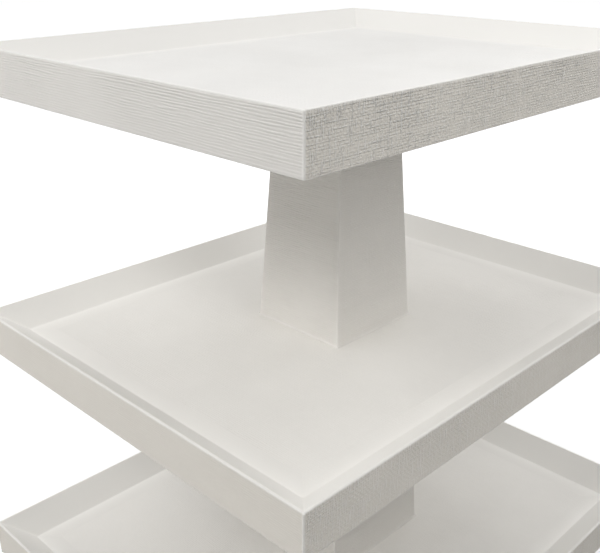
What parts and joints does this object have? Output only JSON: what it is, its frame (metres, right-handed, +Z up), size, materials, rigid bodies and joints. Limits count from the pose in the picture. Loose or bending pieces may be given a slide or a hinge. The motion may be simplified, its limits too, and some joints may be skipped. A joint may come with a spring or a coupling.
{
  "type": "tiered display table",
  "caption": "Free-standing display table: rectangular trays with sloping rims, stepped in size, stand one above the other on a tapered square column over a recessed plinth.",
  "frame": {"origin": "on the floor, under the middle of the table", "axes": "+Z up; -Y the front, a short side of the trays; +X the right-hand long side"},
  "size_m": [0.58, 0.7, 0.717],
  "materials": {
    "lacquered_cloth": "woven cloth under satin off-white lacquer",
    "board": "sanded fibreboard",
    "block": "planed softwood",
    "dowel": "planed beech",
    "zinc_steel": "zinc plated",
    "glide": "moulded nylon"
  },
  "bodies": {
    "root": {"bottom_tray_board": "board", "bottom_tray_rail_front": "board", "bottom_tray_rail_right": "board", "bottom_tray_rail_back": "board", "bottom_tray_rail_left": "board", "bottom_tray_wrap": "lacquered_cloth", "middle_tray_board": "board", "middle_tray_rail_front": "board", "middle_tray_rail_right": "board", "middle_tray_rail_back": "board", "middle_tray_rail_left": "board", "middle_tray_wrap": "lacquered_cloth", "top_tray_board": "board", "top_tray_rail_front": "board", "top_tray_rail_right": "board", "top_tray_rail_back": "board", "top_tray_rail_left": "board", "top_tray_wrap": "lacquered_cloth", "lower_column_panel_front": "board", "lower_column_panel_right": "board", "lower_column_panel_back": "board", "lower_column_panel_left": "board", "lower_column_foot_block": "block", "lower_column_head_block": "block", "lower_column_foot_dowel_1": "dowel", "lower_column_foot_dowel_2": "dowel", "lower_column_head_dowel_1": "dowel", "lower_column_head_dowel_2": "dowel", "lower_column_wrap": "lacquered_cloth", "upper_column_panel_front": "board", "upper_column_panel_right": "board", "upper_column_panel_back": "board", "upper_column_panel_left": "board", "upper_column_foot_block": "block", "upper_column_head_block": "block", "upper_column_foot_dowel_1": "dowel", "upper_column_foot_dowel_2": "dowel", "upper_column_head_dowel_1": "dowel", "upper_column_head_dowel_2": "dowel", "upper_column_wrap": "lacquered_cloth", "tie_rod": "zinc_steel", "tee_nut": "zinc_steel", "washer_plate": "zinc_steel", "tie_rod_nut": "zinc_steel", "plinth_board_front": "board", "plinth_board_right": "board", "plinth_board_back": "board", "plinth_board_left": "board", "plinth_corner_block_front_left": "block", "plinth_corner_block_front_right": "block", "plinth_corner_block_back_right": "block", "plinth_corner_block_back_left": "block", "plinth_wrap": "lacquered_cloth", "glide_front_left": "glide", "glide_front_right": "glide", "glide_back_right": "glide", "glide_back_left": "glide"}
  },
  "joints": []
}
